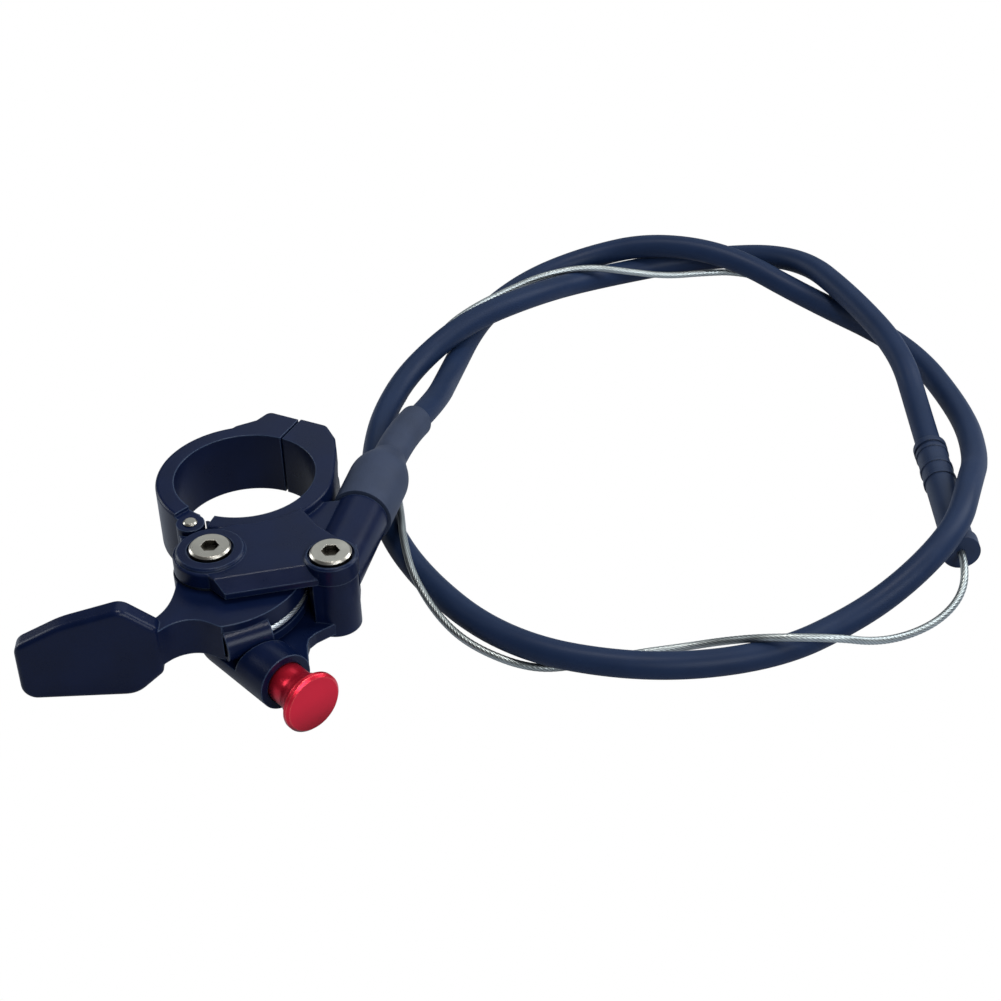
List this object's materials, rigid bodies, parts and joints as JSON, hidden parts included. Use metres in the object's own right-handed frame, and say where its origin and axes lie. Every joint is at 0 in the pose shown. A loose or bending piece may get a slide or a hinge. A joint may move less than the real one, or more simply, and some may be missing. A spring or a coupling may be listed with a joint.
{
  "type": "fork lockout lever",
  "caption": "Handlebar lever with a hinged bar clamp, thumb paddle on a cable drum, round push button and a coiled control cable in a rubber boot.",
  "frame": {"origin": "centre of the bar bore at the middle of the clamp's width", "axes": "+Z along the bar towards the cover plate, +X towards the coiled cable, +Y away from the paddle's face"},
  "size_m": [0.1518, 0.1303, 0.0164],
  "materials": {
    "body_alloy": "cast alloy under a fine satin blue-black coat",
    "screw_steel": "stainless, softly brushed",
    "wire_steel": "stranded steel wire",
    "bush_brass": "turned",
    "washer_plastic": "smooth bearing plastic",
    "ferrule_alloy": "turned",
    "boot_rubber": "soft matte",
    "housing_plastic": "smooth jacket with a soft sheen",
    "sleeve_plastic": "moulded, matte",
    "button_red": "red anodised, satin"
  },
  "bodies": {
    "body": {"clamp_body": "body_alloy", "hinge_pin": "screw_steel", "cover_plate": "body_alloy", "pivot_screw": "screw_steel", "cover_screw": "screw_steel", "pivot_bush": "bush_brass", "lower_washer": "washer_plastic", "upper_washer": "washer_plastic", "cable_run": "wire_steel", "housing_ferrule": "ferrule_alloy", "rubber_boot": "boot_rubber", "cable_housing": "housing_plastic", "end_sleeve": "sleeve_plastic", "inner_wire": "wire_steel", "wire_tip": "wire_steel", "button_spring": "wire_steel"},
    "strap": {"clamp_strap": "body_alloy", "clamp_screw": "screw_steel"},
    "lever": {"lever": "body_alloy", "cable_head": "wire_steel", "drum_cable": "wire_steel"},
    "button": {"release_button": "button_red", "latch_slide": "screw_steel"}
  },
  "joints": [
    {"name": "lever_pivot", "type": "hinge", "parent": "body", "child": "lever", "pos_m": [-0.0035, -0.0211, 0], "axis": [0, 0, 1], "range_deg": [-40, 0]},
    {"name": "button_press", "type": "slide", "parent": "body", "child": "button", "axis": [-0.6428, 0.766, 0], "range_m": [0, 0.002], "stiffness_N_per_m": 400, "springref_m": -0.001, "deforming": ["button_spring"]},
    {"name": "clamp_hinge", "type": "hinge", "parent": "body", "child": "strap", "pos_m": [-0.0076, -0.0112, 0], "axis": [0, 0, 1], "range_deg": [0, 2]}
  ]
}
